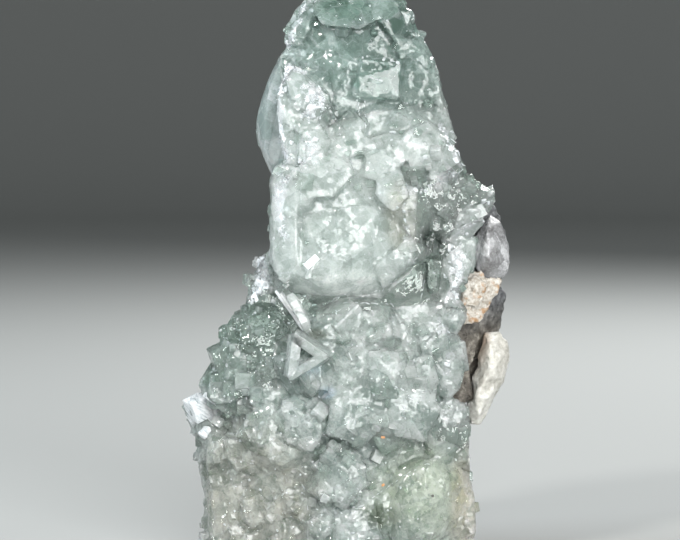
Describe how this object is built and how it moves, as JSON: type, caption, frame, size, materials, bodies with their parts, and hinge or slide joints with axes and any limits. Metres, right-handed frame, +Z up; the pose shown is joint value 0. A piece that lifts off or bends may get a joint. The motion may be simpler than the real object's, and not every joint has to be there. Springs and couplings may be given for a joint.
{
  "type": "fluorite crystal specimen",
  "caption": "Upright specimen of intergrown pale sea-green fluorite crystals on a strip of dark matrix with pale calcite, cut flat to stand.",
  "frame": {"origin": "middle of the flat cut that the specimen stands on", "axes": "+Z up along the specimen's length, +X to its right, +Y to its back"},
  "size_m": [0.0534, 0.036, 0.0924],
  "materials": {
    "fluorite": "clear to milky pale sea-green crystal, glossy faces and frosted patches",
    "sulphide": "dark grey, dull with metallic glints",
    "smoky_calcite": "grey, translucent, softly rounded",
    "tan_crust": "porous, earthy, tan to white",
    "cream_calcite": "granular, cream grey, slightly translucent"
  },
  "bodies": {
    "root": {"fluorite_cluster": "fluorite", "sulphide_matrix": "sulphide", "smoky_calcite": "smoky_calcite", "tan_crust": "tan_crust", "cream_calcite": "cream_calcite"}
  },
  "joints": []
}
